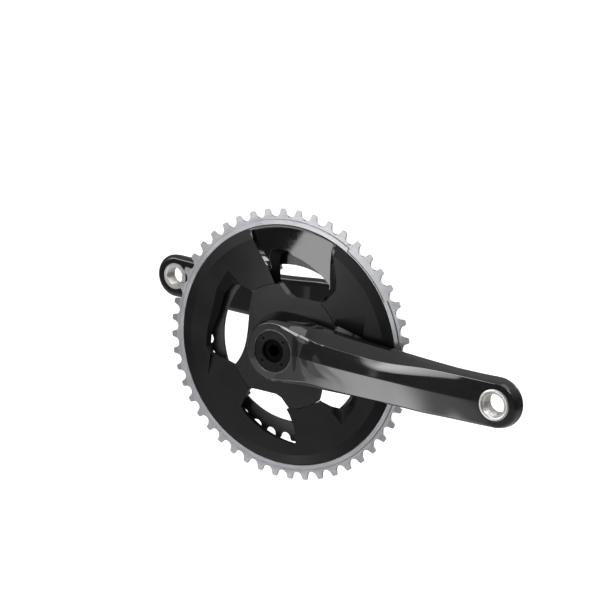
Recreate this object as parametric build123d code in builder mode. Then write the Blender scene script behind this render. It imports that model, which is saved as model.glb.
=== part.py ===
"""Two-ring road bicycle crankset with its threaded bottom bracket.

Millimetres. The origin is the spin axis at the bicycle's mid-plane. +X is forward, +Z is up,
and the drive side, with the chainrings, is at -Y. "Outboard" is the distance from the mid-plane,
and each side's own "forward" is the way its crank arm points.
"""

from math import cos, pi, radians, sin, sqrt
import os

from build123d import *

DRIVE = 1
NONDRIVE = -1

# Crank arms
ARM_LENGTH = 172.5
PEDAL_FACE = 72.5
EYE_INNER_FACE = 60.3
EYE_RADIUS = 17.8
HUB_BACK = 52.0
HUB_FACE = 68.8
HUB_BASE_RADIUS = 26.2
HUB_FACE_RADIUS = 21.6
BACK_CORNER = 2.6
# Each station of the blade: distance along the arm, outboard places of its back and of the crest
# of its front, then the upper and the lower half: the height of the flank's root, and (height,
# outboard) of the flank's shoulder and of the front face's edge.
BLADE_STATIONS = (
    (10, 52.4, 63.0, (24.0, (21.6, 60.0), (19.0, 62.5)), (24.0, (21.6, 60.0), (19.0, 62.5))),
    (24, 54.6, 66.5, (24.3, (21.8, 63.5), (16.4, 66.0)), (22.8, (20.6, 64.0), (17.4, 66.0))),
    (31, 56.2, 70.4, (23.8, (21.3, 64.0), (14.6, 69.6)), (21.8, (20.2, 66.2), (17.2, 69.0))),
    (46, 57.1, 71.2, (22.8, (20.3, 64.0), (13.1, 70.4)), (20.5, (19.7, 67.2), (17.7, 69.5))),
    (60, 57.2, 71.4, (21.3, (19.8, 63.8), (12.4, 70.6)), (19.6, (19.2, 67.6), (17.6, 69.7))),
    (80, 57.4, 71.5, (19.7, (18.6, 64.0), (11.4, 70.8)), (19.1, (18.8, 67.7), (17.3, 69.8))),
    (100, 57.7, 71.6, (18.9, (17.8, 64.6), (12.4, 71.0)), (18.7, (18.3, 67.9), (16.8, 69.9))),
    (120, 58.4, 71.8, (17.9, (16.6, 66.6), (14.3, 71.15)), (17.8, (17.6, 68.3), (16.1, 70.2))),
    (140, 59.2, 72.0, (17.1, (15.9, 68.6), (14.8, 71.3)), (17.0, (16.7, 68.6), (15.2, 70.5))),
    (170, 60.4, 72.3, (17.3, (15.7, 69.5), (14.5, 71.7)), (17.2, (15.9, 69.4), (14.5, 71.6))),
)
# Front of the eye round the pedal hole, as (radius, outboard) from the flank inwards
EYE_FRONT = ((17.6, 64.0), (16.2, 69.6), (14.8, 71.9), (12.5, 72.5))

# Pedal thread, 9/16 inch by 20, in a bonded aluminium bush
PEDAL_THREAD_RADIUS = 7.15
PEDAL_BUSH_RADIUS = 11.0
PEDAL_BUSH_RECESS = 0.5
PEDAL_BUSH_CHAMFER = 0.7

# Spindle, bonded inserts and the self-extracting bolt
SPINDLE_RADIUS = 14.495
SPINDLE_BORE = 12.0
SPINDLE_DRIVE_END = 59.9
SPINDLE_NONDRIVE_END = 64.0
SPLINE_START = 47.0
SPLINE_COUNT = 20
SPLINE_DEPTH = 1.1
SPLINE_WIDTH = 2.2
BOLT_THREAD_RADIUS = 8.95
BOLT_BOSS_START = 35.0
INSERT_BOSS_RADIUS = 17.4
INSERT_BOSS_END = 46.3
INSERT_FLANGE_RADIUS = 24.8
INSERT_FLANGE_FACE = 56.0
INSERT_RADIUS = 18.5
INSERT_NOSE_RADIUS = 16.5
INSERT_WALL = (60.0, 62.5)
INSERT_NOSE_END = 68.5
CRANK_BOLT_HEAD_RADIUS = 13.0
CRANK_BOLT_HEAD_FACE = 66.0
CRANK_BOLT_KEY = 4.0
CRANK_WASHER = (9.4, 13.4)
CRANK_WASHER_THICKNESS = 0.8
CAP_RADIUS = 14.85
CAP_FACE = 68.2
CAP_THICKNESS = 2.0
CAP_HOLE_RADIUS = 8.3
CAP_PIN_HOLES = 4
CAP_PIN_CIRCLE = 11.5
CAP_PIN_HOLE_RADIUS = 0.9

# Clearances: bonded joints, glued sleeves, running fits and press fits
BOND = 0.05
GLUE_LINE = 0.02
RUNNING = 0.05
PRESS = 0.005

# Spider and the shared bolts of both rings: four bolts on 107 mm, unevenly spaced
SPIDER_BACK = 46.5
SPIDER_FACE = 52.0
SPIDER_BOLTS = 8
SPIDER_BOLT_CIRCLE = 21.8
SPIDER_BOLT_RADIUS = 1.97
SPIDER_BOLT_HEAD = (46.65, 48.7)
SPIDER_BOLT_HEAD_RADIUS = 3.3
SEAM_RADIUS = 45.5
SEAM_GAP = 0.45
RING_BOLT_CIRCLE = 53.5
RING_BOLT_ANGLES = (43.5, 113.5, 223.5, 293.5)
RING_BOLT_RADIUS = 3.98
RING_BOLT_HOLE = 4.05
RING_BOLT_HEAD_RADIUS = 6.0
TAB_RADIUS = 8.0
SPIDER_TAB = (44.7, 47.95)

# Chainrings: 12.7 mm pitch, 48 and 35 teeth
CHAIN_PITCH = 12.7
ROLLER_SEAT = 3.95
TOOTH_HEIGHT = 1.9
OUTER_TEETH = 48
INNER_TEETH = 35
TOOTH_PHASE = 2.4
OUTER_TOOTH_BACK = 47.55
OUTER_TOOTH_FACE = 49.65
BEAD_FACE = 50.35
BEAD = (88.0, 91.6)
SHIFT_ZONES = (46.35, 212.75)
SHIFT_ZONE_WIDTH = 28.5
GROOVE = (87.3, 88.0)
CARRIER_BACK = 48.0
CARRIER_FACE = 52.0
CARRIER_SHOULDER = (80.0, 50.6)
SCOOP_FLOOR = 49.3
STOP_PIN_RADIUS = 1.6
STOP_PIN_CIRCLE = 84.0
STOP_PIN_SEAT = 50.2
SHIFT_PIN_CIRCLE = 84.0
SHIFT_PIN_OFFSET = 8.0
SHIFT_PIN_RADIUS = 1.7
SHIFT_PIN_HEIGHT = 2.2
INNER_PHASE = 3.0
INNER_RING_BACK = 40.4
INNER_RING_FACE = 42.3
INNER_RING_HOLE = 58.0
INNER_TAB = (41.2, 44.65)

# Bottom bracket for a 68 mm shell with inch threads
SHELL_HALF_WIDTH = 34.0
CUP_THREAD_END = 22.0
CUP_THREAD_RADIUS = 17.4
CUP_THREAD_PITCH = 1.058
CUP_BORE = 16.0
CUP_FLANGE_RADIUS = 23.0
CUP_MOUTH = 45.2
CUP_NOTCHES = 16
BEARING = (36.5, 43.5)
BEARING_RADIUS = 21.0
BALL_RADIUS = 2.0
BALL_CIRCLE = 17.75
BALL_COUNT = 20
SHOULDERS = (16.4, 19.1)
CAGE_WIDTH = 5.2
CAGE_THICKNESS = 1.1
SEAL_THICKNESS = 0.45
SLEEVE_HALF_LENGTH = 30.0
SLEEVE_RADII = (15.1, 15.9)

# Preload adjusting ring on the non-drive side
PRELOAD_RING = (46.45, 51.5)
PRELOAD_RADIUS = 23.8
PRELOAD_KNURLS = 30
PINCH_SCREW_HEIGHT = 20.7
PINCH_SCREW_START = -4.5
PINCH_SHANK_LENGTH = 8.5
PINCH_HEAD_LENGTH = 1.9


def across(outboard, side=DRIVE):
    """Plane across the spin axis, seen from outside that side: x is forward, y is up."""
    return Plane(origin=(0, -side * outboard, 0), x_dir=(side, 0, 0), z_dir=(0, -side, 0))


def half_section(side=DRIVE, along=0):
    """Plane through the spin axis, or one beside it: x is the radius, y is outboard."""
    return Plane(origin=(side * along, 0, 0), x_dir=(side, 0, 0), z_dir=(0, 0, -1))


def beside_axis(side, along):
    return Axis((side * along, 0, 0), (0, 1, 0))


def polar(radius, angle):
    return (radius * cos(radians(angle)), radius * sin(radians(angle)))


def half_turn(points):
    """The same points turned half a turn about the spin axis."""
    return [(-x, -y) for x, y in points]


def turned(points, side=DRIVE):
    """A body of revolution about the spin axis from (radius, outboard) points."""
    with BuildPart() as body:
        with BuildSketch(half_section(side)):
            with BuildLine():
                Polyline(*points, close=True)
            make_face()
        revolve(axis=Axis.Y)
    return body


def finish(body, name):
    body.part.label = name
    export_step(body.part, f"parts/{name}.step")


# ---------------------------------------------------------------- crank arms


def blade_profile(back, crest, upper, lower):
    """Cross-section of the blade as (height, outboard): flat back, full flanks, ridged front."""
    halves = []
    for sign, (root, shoulder, edge) in ((-1, lower), (1, upper)):
        halves.append(
            [
                (sign * (root - BACK_CORNER), back),
                (sign * root, back + BACK_CORNER),
                (sign * shoulder[0], shoulder[1]),
                (sign * edge[0], edge[1]),
            ]
        )
    return [*halves[0], (0, crest), *reversed(halves[1])]


def crank_arm(side):
    name = "drive_crank_arm" if side == DRIVE else "nondrive_crank_arm"
    with BuildPart() as arm:
        for along, back, crest, upper, lower in BLADE_STATIONS:
            station = Plane(origin=(side * along, 0, 0), x_dir=(0, 0, 1), z_dir=(1, 0, 0))
            with BuildSketch(station):
                with BuildLine():
                    outline = blade_profile(back, crest, upper, lower)
                    Polyline(*[(up, side * out) for up, out in outline], close=True)
                make_face()
        loft(ruled=True)
        with BuildSketch(half_section(side)):
            with BuildLine():
                Polyline(
                    (0, HUB_BACK),
                    (HUB_BASE_RADIUS, HUB_BACK),
                    (HUB_BASE_RADIUS - 0.4, HUB_BACK + 3),
                    (HUB_FACE_RADIUS, HUB_FACE - 1.0),
                    (HUB_FACE_RADIUS - 1.0, HUB_FACE),
                    (0, HUB_FACE),
                    close=True,
                )
            make_face()
        revolve(axis=Axis.Y)
        with BuildSketch(half_section(side, ARM_LENGTH)):
            with BuildLine():
                Polyline(
                    (0, EYE_INNER_FACE),
                    (EYE_RADIUS - 2.5, EYE_INNER_FACE),
                    (EYE_RADIUS, EYE_INNER_FACE + 2.5),
                    *EYE_FRONT,
                    (0, PEDAL_FACE),
                    close=True,
                )
            make_face()
        revolve(axis=beside_axis(side, ARM_LENGTH))
        with BuildSketch(half_section(side)):
            with BuildLine():
                Polyline(*insert_pocket(side), close=True)
            make_face()
        revolve(axis=Axis.Y, mode=Mode.SUBTRACT)
        with BuildSketch(across(PEDAL_FACE + 1, side)):
            with Locations((ARM_LENGTH, 0)):
                Circle(PEDAL_BUSH_RADIUS + BOND)
        extrude(amount=-(PEDAL_FACE - EYE_INNER_FACE + 2), mode=Mode.SUBTRACT)
    finish(arm, name)


def insert_pocket(side):
    """The hollow that the bonded insert fills, open at the back of the hub."""
    back = HUB_BACK - 1
    if side == NONDRIVE:
        return [
            (0, back),
            (INSERT_FLANGE_RADIUS + BOND, back),
            (INSERT_FLANGE_RADIUS + BOND, INSERT_FLANGE_FACE + BOND),
            (INSERT_RADIUS + BOND, INSERT_FLANGE_FACE + BOND),
            (INSERT_RADIUS + BOND, SPINDLE_NONDRIVE_END + BOND),
            (0, SPINDLE_NONDRIVE_END + BOND),
        ]
    nose = INSERT_NOSE_RADIUS + BOND
    return [
        (0, back),
        (INSERT_FLANGE_RADIUS + BOND, back),
        (INSERT_FLANGE_RADIUS + BOND, INSERT_FLANGE_FACE + BOND),
        (INSERT_RADIUS + BOND, INSERT_FLANGE_FACE + BOND),
        (INSERT_RADIUS + BOND, INSERT_WALL[1] + 1.5),
        (nose, INSERT_WALL[1] + 3.5 + BOND),
        (nose, HUB_FACE + 1),
        (0, HUB_FACE + 1),
    ]


def pedal_bush(side):
    with BuildPart() as bush:
        with BuildSketch(across(EYE_INNER_FACE, side)):
            with Locations((ARM_LENGTH, 0)):
                Circle(PEDAL_BUSH_RADIUS)
                Circle(PEDAL_THREAD_RADIUS, mode=Mode.SUBTRACT)
        extrude(amount=PEDAL_FACE - PEDAL_BUSH_RECESS - EYE_INNER_FACE)
        front = bush.faces().sort_by(Axis.Y)[0 if side == DRIVE else -1]
        chamfer(front.edges().sort_by(SortBy.RADIUS)[0], PEDAL_BUSH_CHAMFER)
    finish(bush, "drive_pedal_bush" if side == DRIVE else "nondrive_pedal_bush")


# ---------------------------------------------------------------- spindle, inserts, bolt


def spline_teeth(clearance, start, end):
    """Bars in a circle: the teeth inside the insert, or with clearance the spindle's grooves."""
    with BuildPart() as teeth:
        with BuildSketch(across(start)):
            with PolarLocations(SPINDLE_RADIUS, SPLINE_COUNT):
                Rectangle(2 * (SPLINE_DEPTH + clearance), SPLINE_WIDTH + 2 * clearance)
        extrude(amount=end - start)
    return teeth


def spindle():
    grooves = spline_teeth(RUNNING, SPLINE_START, SPINDLE_DRIVE_END + 1)
    with BuildPart() as tube:
        with BuildSketch(across(-SPINDLE_NONDRIVE_END)):
            Circle(SPINDLE_RADIUS)
        extrude(amount=SPINDLE_DRIVE_END + SPINDLE_NONDRIVE_END)
        with BuildSketch(across(-SPINDLE_NONDRIVE_END - 1)):
            Circle(SPINDLE_BORE)
        extrude(amount=BOLT_BOSS_START + SPINDLE_NONDRIVE_END + 1, mode=Mode.SUBTRACT)
        with BuildSketch(across(BOLT_BOSS_START - 1)):
            Circle(BOLT_THREAD_RADIUS + RUNNING)
        extrude(amount=SPINDLE_DRIVE_END - BOLT_BOSS_START + 2, mode=Mode.SUBTRACT)
        add(grooves.part, mode=Mode.SUBTRACT)
    finish(tube, "spindle")


def drive_insert():
    bore = SPINDLE_RADIUS + RUNNING
    wall_in, wall_out = INSERT_WALL
    body = turned(
        [
            (bore, INSERT_BOSS_END),
            (INSERT_BOSS_RADIUS, INSERT_BOSS_END),
            (INSERT_BOSS_RADIUS, HUB_BACK),
            (INSERT_FLANGE_RADIUS, HUB_BACK),
            (INSERT_FLANGE_RADIUS, INSERT_FLANGE_FACE),
            (INSERT_RADIUS, INSERT_FLANGE_FACE),
            (INSERT_RADIUS, wall_out + 1.5),
            (INSERT_NOSE_RADIUS, wall_out + 3.5),
            (INSERT_NOSE_RADIUS, INSERT_NOSE_END),
            (CAP_RADIUS + RUNNING, INSERT_NOSE_END),
            (CAP_RADIUS + RUNNING, wall_out),
            (BOLT_THREAD_RADIUS + 0.4, wall_out),
            (BOLT_THREAD_RADIUS + 0.4, wall_in),
            (bore, wall_in),
        ]
    )
    teeth = spline_teeth(0, SPLINE_START, wall_in)
    with BuildPart() as insert:
        add(body.part)
        add(teeth.part)
        with BuildSketch(across(HUB_BACK)):
            spider_bolt_circles(SPIDER_BOLT_RADIUS + 0.03)
        extrude(amount=3.7, mode=Mode.SUBTRACT)
    finish(insert, "drive_spindle_insert")


def nondrive_insert():
    bore = SPINDLE_RADIUS + GLUE_LINE
    body = turned(
        [
            (bore, INSERT_BOSS_END + 0.2),
            (INSERT_BOSS_RADIUS, INSERT_BOSS_END + 0.2),
            (INSERT_BOSS_RADIUS, HUB_BACK),
            (INSERT_FLANGE_RADIUS, HUB_BACK),
            (INSERT_FLANGE_RADIUS, INSERT_FLANGE_FACE),
            (INSERT_RADIUS, INSERT_FLANGE_FACE),
            (INSERT_RADIUS, SPINDLE_NONDRIVE_END),
            (bore, SPINDLE_NONDRIVE_END),
        ],
        NONDRIVE,
    )
    finish(body, "nondrive_spindle_insert")


def crank_bolt():
    wall_out = INSERT_WALL[1]
    seat = wall_out + CRANK_WASHER_THICKNESS
    thread_start = BOLT_BOSS_START + 3
    with BuildPart() as bolt:
        with BuildSketch(across(thread_start)):
            Circle(BOLT_THREAD_RADIUS)
        extrude(amount=seat - thread_start)
        with BuildSketch(across(seat)):
            Circle(CRANK_BOLT_HEAD_RADIUS)
        extrude(amount=CRANK_BOLT_HEAD_FACE - seat)
        with BuildSketch(across(CRANK_BOLT_HEAD_FACE)):
            RegularPolygon(CRANK_BOLT_KEY, 6, major_radius=False)
        extrude(amount=-8, mode=Mode.SUBTRACT)
    finish(bolt, "crank_bolt")
    hole, rim = CRANK_WASHER
    washer = turned([(hole, wall_out), (rim, wall_out), (rim, seat), (hole, seat)])
    finish(washer, "crank_bolt_washer")


def extractor_cap():
    with BuildPart() as cap:
        with BuildSketch(across(CAP_FACE - CAP_THICKNESS)):
            Circle(CAP_RADIUS)
            Circle(CAP_HOLE_RADIUS, mode=Mode.SUBTRACT)
            with PolarLocations(CAP_PIN_CIRCLE, CAP_PIN_HOLES, start_angle=45):
                Circle(CAP_PIN_HOLE_RADIUS, mode=Mode.SUBTRACT)
        extrude(amount=CAP_THICKNESS)
        rims = cap.faces().sort_by(Axis.Y)[0].edges().sort_by(SortBy.RADIUS)
        chamfer([rims[-1], rims[-2]], 0.5)
    finish(cap, "extractor_cap")


# ---------------------------------------------------------------- spider


def spider_outline():
    """The spider's edge seen from the front: two halves, each the half turn of the other."""
    with BuildLine() as edge:
        for turn in (list, half_turn):
            left = turn([polar(SEAM_RADIUS, 208), (-32.6, -4), (-31.2, 16), polar(SEAM_RADIUS, 130)])
            top = turn([polar(SEAM_RADIUS, angle) for angle in (130, 115, 99.5)])
            gullet = turn([(-0.5, 38.2), (4, 36.4), (21, 36.4)])
            right = turn([polar(SEAM_RADIUS, angle) for angle in (54, 41, 28)])
            Spline(*left)
            ThreePointArc(*top)
            Polyline(top[-1], *gullet, right[0])
            ThreePointArc(*right)
    return edge


def bolt_tabs(inner, tab_radius=TAB_RADIUS):
    """The four ears that carry the ring bolts, drawn from an inner radius outward."""
    for angle in RING_BOLT_ANGLES:
        with Locations(Location((0, 0, 0), (0, 0, angle))):
            with Locations((RING_BOLT_CIRCLE, 0)):
                Circle(tab_radius)
            with Locations(((RING_BOLT_CIRCLE + inner) / 2, 0)):
                Rectangle(RING_BOLT_CIRCLE - inner, 2 * tab_radius)


def ring_bolt_circles(radius):
    for angle in RING_BOLT_ANGLES:
        with Locations(polar(RING_BOLT_CIRCLE, angle)):
            Circle(radius)


def spider_bolt_circles(radius):
    with PolarLocations(SPIDER_BOLT_CIRCLE, SPIDER_BOLTS):
        Circle(radius)


def spider():
    with BuildPart() as body:
        with BuildSketch(across(SPIDER_BACK)):
            add(spider_outline().line)
            make_face()
            Circle(INSERT_BOSS_RADIUS + RUNNING, mode=Mode.SUBTRACT)
        extrude(amount=SPIDER_FACE - SPIDER_BACK)
        with BuildSketch(across(SPIDER_TAB[0])):
            bolt_tabs(36)
        extrude(amount=SPIDER_TAB[1] - SPIDER_TAB[0])
        with BuildSketch(across(SPIDER_TAB[0] - 1)):
            ring_bolt_circles(RING_BOLT_HOLE)
        extrude(amount=SPIDER_TAB[1] - SPIDER_TAB[0] + 2, mode=Mode.SUBTRACT)
        with BuildSketch(across(SPIDER_BACK - 3)):
            spider_bolt_circles(SPIDER_BOLT_RADIUS + 0.08)
        extrude(amount=SPIDER_FACE - SPIDER_BACK + 4, mode=Mode.SUBTRACT)
        with BuildSketch(across(SPIDER_BACK - 3)):
            spider_bolt_circles(SPIDER_BOLT_HEAD_RADIUS + 0.2)
        extrude(amount=5.2, mode=Mode.SUBTRACT)
    finish(body, "spider")


def spider_bolts():
    head_start, head_end = SPIDER_BOLT_HEAD
    with BuildPart() as bolts:
        with BuildSketch(across(head_start)):
            spider_bolt_circles(SPIDER_BOLT_HEAD_RADIUS)
        extrude(amount=head_end - head_start)
        with BuildSketch(across(head_end)):
            spider_bolt_circles(SPIDER_BOLT_RADIUS)
        extrude(amount=HUB_BACK + 3.4 - head_end)
        with BuildSketch(across(head_start)):
            with PolarLocations(SPIDER_BOLT_CIRCLE, SPIDER_BOLTS):
                RegularPolygon(1.9, 6)
        extrude(amount=1.4, mode=Mode.SUBTRACT)
    finish(bolts, "spider_bolts")


# ---------------------------------------------------------------- chainrings


def pitch_radius(teeth):
    return CHAIN_PITCH / (2 * sin(pi / teeth))


def tooth_gap(teeth):
    """One space between teeth: a roller seat that flares towards the tips."""
    centre = pitch_radius(teeth)
    outside = centre + TOOTH_HEIGHT + 1
    flare = 5.35
    with BuildSketch(mode=Mode.PRIVATE) as gap:
        with BuildLine():
            low = (centre, -ROLLER_SEAT)
            high = (centre, ROLLER_SEAT)
            ThreePointArc(low, (centre - ROLLER_SEAT, 0), high)
            Polyline(high, (outside, flare), (outside, -flare), low)
        make_face()
    return gap.sketch


def toothed_disc(teeth, back, face, hole, phase):
    """A ring whose teeth thin towards their tips on both sides."""
    tip = pitch_radius(teeth) + TOOTH_HEIGHT
    root = pitch_radius(teeth) - ROLLER_SEAT
    thinning = 0.55
    body = turned(
        [
            (hole, back),
            (root + 1, back),
            (tip, back + thinning),
            (tip, face - thinning),
            (root + 1, face),
            (hole, face),
        ]
    )
    gap = tooth_gap(teeth)
    with BuildPart() as disc:
        add(body.part)
        with BuildSketch(across(back - 1)):
            for tooth in range(teeth):
                with Locations(Location((0, 0, 0), (0, 0, phase + tooth * 360 / teeth))):
                    add(gap)
        extrude(amount=face - back + 2, mode=Mode.SUBTRACT)
    return disc


def lower_hole():
    """Opening between the two lower tabs, ending in a sharp tip on the right."""
    with BuildSketch(mode=Mode.PRIVATE) as hole:
        with BuildLine():
            heel = (-33.4, -53.5)
            tip = (14.8, -70.9)
            seam_left = (-28.4, -39.5)
            seam_right = (5.0, -45.5)
            Line(seam_left, heel)
            ThreePointArc(heel, (-10.5, -66.9), tip)
            ThreePointArc(tip, (11.8, -56.6), seam_right)
            Polyline(seam_right, (2, -36), (-22, -32), seam_left)
        make_face()
        fillet(hole.vertices().sort_by(Axis.X)[0], 3.0)
    return hole.sketch


def upper_hole():
    """Opening above the hub, rounded on its left."""
    with BuildSketch(mode=Mode.PRIVATE) as hole:
        with BuildLine():
            start = (-6, 67.4)
            end = (31.4, 50.5)
            ThreePointArc(start, (15.5, 61.2), end)
            Polyline(end, (31, 44), (24, 36), (0, 35), (-8, 42), (-9.3, 52), (-9.5, 61), (-8.6, 65), start)
        make_face()
    return hole.sketch


def side_window(front):
    """Opening on the left, wider at the front face, where its left and upper sides slope in."""
    if front:
        low = [(-66.2, -14), (-62.5, -18.5), (-41.5, -23.5)]
        high = [(-32, 36), (-40.5, 38.5), (-51.5, 48), (-60.3, 33), (-63.8, 14), (-66.3, -1)]
    else:
        low = [(-64.1, -13), (-61.8, -17.6), (-41.5, -22.8)]
        high = [(-32, 35), (-39.7, 36.6), (-48.2, 35.5), (-54.4, 28.4), (-58.8, 11.9), (-64.2, -2.1)]
    behind_spider = [(-33, -20), (-27, 20), (-26, 31.5)]
    with BuildSketch(mode=Mode.PRIVATE) as window:
        with BuildLine():
            Polyline(*low, *behind_spider, *high, close=True)
        make_face()
    return window.sketch


def scoop(floor):
    """Polished hollow above the hub, from the rim to the spider, at its floor or at the front."""
    if floor:
        left = [(-10.3, 42), (-15.4, 52), (-18.8, 59.3), (-30.6, 71), (-34, 78.6)]
        right = [(32, 80.2), (30.9, 75.5), (30.6, 66), (31.2, 56), (32, 48.5), (28, 40.5)]
    else:
        left = [(-10.1, 42), (-16, 51.6), (-21.6, 59), (-31, 71.6), (-35, 79.6)]
        right = [(33.6, 80.9), (32.9, 75.8), (36.2, 66.5), (38.8, 56.2), (38.6, 48), (30.5, 38.6)]
    foot = [(20.5, 34.6), (2, 35)]
    with BuildSketch(mode=Mode.PRIVATE) as hollow:
        with BuildLine():
            ThreePointArc(left[-1], (0, sqrt(left[-1][0] ** 2 + left[-1][1] ** 2)), right[0])
            Polyline(*right, *foot, *left)
        make_face()
    return hollow.sketch


def scoop_dip(low):
    """Polished slope at the left end of the upper hole, at the scoop's floor or at its low side."""
    if low:
        edge = [(-8, 42), (-9.3, 52), (-9.5, 61), (-8.6, 65), (-6, 67.4), (-1, 66.8)]
    else:
        edge = [(-11.5, 43.5), (-15.7, 52.2), (-18.9, 62), (-17.9, 67), (-13.6, 69.4), (-4, 68.8)]
    with BuildSketch(mode=Mode.PRIVATE) as dip:
        with BuildLine():
            Polyline(*edge, (3, 65), (8, 55), (4, 41), close=True)
        make_face()
    return dip.sketch


def tab_facet():
    """Facet of the lower left tab that deepens from a crease line towards the side window."""
    crease_start = (-63.1, -35.9)
    crease_end = (-39.9, -28.2)
    outline = [crease_start, crease_end, (-37, -20), (-41, -15), (-61.8, -15)]
    overrun = 5.0
    width = 20.0
    depth = 2.8
    run = Vector(crease_end[0] - crease_start[0], 0, crease_end[1] - crease_start[1]).normalized()
    rise = Vector(-run.Z, 0, run.X)
    start = Vector(crease_start[0], -CARRIER_FACE, crease_start[1]) - run * overrun
    section = Plane(origin=start, x_dir=rise, z_dir=run)
    with BuildPart() as wedge:
        with BuildSketch(section):
            with BuildLine():
                Polyline((0, 0), (width, -depth), (width, 1), (0, 1), close=True)
            make_face()
        extrude(amount=24.4 + 2 * overrun)
        with BuildSketch(across(CARRIER_BACK)):
            with BuildLine():
                Polyline(*outline, close=True)
            make_face()
        extrude(amount=6, mode=Mode.INTERSECT)
    return wedge.part


def outer_chainring():
    back = OUTER_TOOTH_BACK
    rim = toothed_disc(OUTER_TEETH, back, OUTER_TOOTH_FACE, GROOVE[0] - 1, TOOTH_PHASE)
    shoulder_radius, shoulder_face = CARRIER_SHOULDER
    inner = SEAM_RADIUS + SEAM_GAP
    web = turned(
        [
            (inner, CARRIER_BACK),
            (GROOVE[0], CARRIER_BACK),
            (GROOVE[0], shoulder_face),
            (shoulder_radius, CARRIER_FACE),
            (inner, CARRIER_FACE),
        ]
    )
    bead_low, bead_high = BEAD
    bead = turned(
        [
            (bead_low, back),
            (bead_high, back),
            (bead_high, BEAD_FACE - 0.3),
            (bead_high - 0.5, BEAD_FACE),
            (bead_low, BEAD_FACE),
        ]
    )
    with BuildPart() as ring:
        add(rim.part)
        add(web.part)
        add(bead.part)
        # The bead stops over the two shift zones, where the rim is flat.
        with BuildSketch(across(OUTER_TOOTH_FACE)):
            for zone in SHIFT_ZONES:
                with BuildLine():
                    start, middle, end = (zone + share * SHIFT_ZONE_WIDTH / 2 for share in (-1, 0, 1))
                    ThreePointArc(*[polar(BEAD[0] + 0.6, angle) for angle in (start, middle, end)])
                    Line(polar(BEAD[0] + 0.6, end), polar(BEAD[1] + 1, end))
                    ThreePointArc(*[polar(BEAD[1] + 1, angle) for angle in (end, middle, start)])
                    Line(polar(BEAD[1] + 1, start), polar(BEAD[0] + 0.6, start))
                make_face()
        extrude(amount=1, mode=Mode.SUBTRACT)
        with BuildSketch(across(CARRIER_BACK - 1)):
            add(lower_hole())
            add(upper_hole())
        extrude(amount=CARRIER_FACE - CARRIER_BACK + 2, mode=Mode.SUBTRACT)
        for turn in (0, 180):
            for height, front in ((CARRIER_BACK - 0.5, False), (CARRIER_FACE + 0.5, True)):
                with BuildSketch(across(height)):
                    with Locations(Location((0, 0, 0), (0, 0, turn))):
                        add(side_window(front))
            loft(ruled=True, mode=Mode.SUBTRACT)
        facet = tab_facet()
        add(facet, mode=Mode.SUBTRACT)
        add(facet.rotate(Axis.Y, 180), mode=Mode.SUBTRACT)
        for height, floor in ((SCOOP_FLOOR, True), (CARRIER_FACE + 0.3, False)):
            with BuildSketch(across(height)):
                add(scoop(floor))
        loft(ruled=True, mode=Mode.SUBTRACT)
        for height, low in ((CARRIER_BACK - 0.1, True), (SCOOP_FLOOR, False)):
            with BuildSketch(across(height)):
                add(scoop_dip(low))
        loft(ruled=True, mode=Mode.SUBTRACT)
        with BuildSketch(across(CARRIER_BACK - 1)):
            ring_bolt_circles(RING_BOLT_RADIUS + 0.04)
        extrude(amount=4.0, mode=Mode.SUBTRACT)
        with BuildSketch(across(STOP_PIN_SEAT)):
            with Locations((STOP_PIN_CIRCLE, 0)):
                Circle(STOP_PIN_RADIUS)
        extrude(amount=CARRIER_FACE, mode=Mode.SUBTRACT)
    finish(ring, "outer_chainring")


def inner_chainring():
    teeth = toothed_disc(INNER_TEETH, INNER_RING_BACK, INNER_RING_FACE, INNER_RING_HOLE, INNER_PHASE)
    with BuildPart() as ring:
        add(teeth.part)
        with BuildSketch(across(INNER_TAB[0])):
            bolt_tabs(RING_BOLT_CIRCLE - 1, 7.5)
            for angle in RING_BOLT_ANGLES:
                with Locations(Location((0, 0, 0), (0, 0, angle))):
                    with Locations((58, 0)):
                        Rectangle(9, 21)
        extrude(amount=INNER_TAB[1] - INNER_TAB[0])
        with BuildSketch(across(INNER_TAB[0] - 2)):
            ring_bolt_circles(RING_BOLT_HOLE)
        extrude(amount=8, mode=Mode.SUBTRACT)
        with BuildSketch(across(INNER_TAB[0] - 2)):
            ring_bolt_circles(RING_BOLT_HEAD_RADIUS + 0.1)
        extrude(amount=3.6, mode=Mode.SUBTRACT)
    finish(ring, "inner_chainring")


def chainring_bolts():
    head_start = INNER_TAB[0] - 0.2
    head_end = INNER_TAB[0] + 1.6
    with BuildPart() as bolts:
        with BuildSketch(across(head_start)):
            ring_bolt_circles(RING_BOLT_HEAD_RADIUS)
        extrude(amount=head_end - head_start)
        with BuildSketch(across(head_end)):
            ring_bolt_circles(RING_BOLT_RADIUS)
        extrude(amount=CARRIER_BACK + 2.8 - head_end)
        with BuildSketch(across(head_start)):
            for angle in RING_BOLT_ANGLES:
                with Locations(polar(RING_BOLT_CIRCLE, angle)):
                    RegularPolygon(3.0, 6)
        extrude(amount=3, mode=Mode.SUBTRACT)
    finish(bolts, "chainring_bolts")


def ring_pins():
    with BuildPart() as shift_pins:
        with BuildSketch(across(CARRIER_BACK - SHIFT_PIN_HEIGHT)):
            for zone in SHIFT_ZONES:
                for offset in (-SHIFT_PIN_OFFSET, SHIFT_PIN_OFFSET):
                    with Locations(polar(SHIFT_PIN_CIRCLE, zone + offset)):
                        Circle(SHIFT_PIN_RADIUS)
        extrude(amount=SHIFT_PIN_HEIGHT)
    finish(shift_pins, "shift_pins")
    with BuildPart() as stop_pin:
        with BuildSketch(across(STOP_PIN_SEAT)):
            with Locations((STOP_PIN_CIRCLE, 0)):
                Circle(STOP_PIN_RADIUS)
        extrude(amount=6)
    finish(stop_pin, "chain_stop_pin")


# ---------------------------------------------------------------- bottom bracket


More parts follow.
